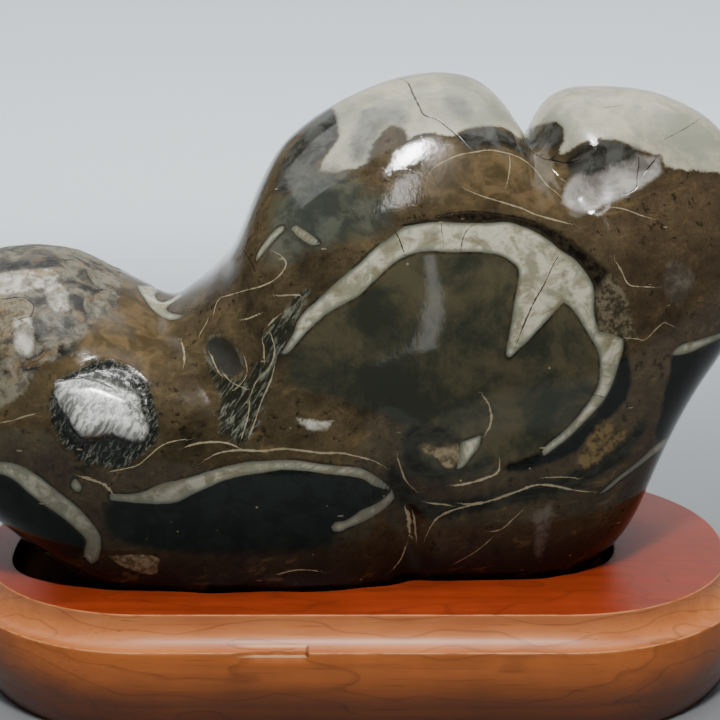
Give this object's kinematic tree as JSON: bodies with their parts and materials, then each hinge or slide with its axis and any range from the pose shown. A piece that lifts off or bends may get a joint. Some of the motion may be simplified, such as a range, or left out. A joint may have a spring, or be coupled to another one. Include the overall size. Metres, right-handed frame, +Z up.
{
  "type": "fossil nautilus on a wooden stand",
  "caption": "Polished fossil nautilus stone with pale chamber walls, resting in the carved pocket of a moulded wooden stand.",
  "frame": {"origin": "centre of the stand's flat underside, where the part rests on a table", "axes": "+Z up, +X along the stand towards the stone's tall end, -Y towards the viewer"},
  "size_m": [0.315, 0.1592, 0.2205],
  "materials": {
    "polished_fossil_stone": "high polish, dark olive brown limestone with pale calcite chamber walls",
    "varnished_wood": "satin to gloss varnish over red brown hardwood"
  },
  "bodies": {
    "root": {"fossil_nautilus": "polished_fossil_stone", "wooden_stand": "varnished_wood"}
  },
  "joints": []
}
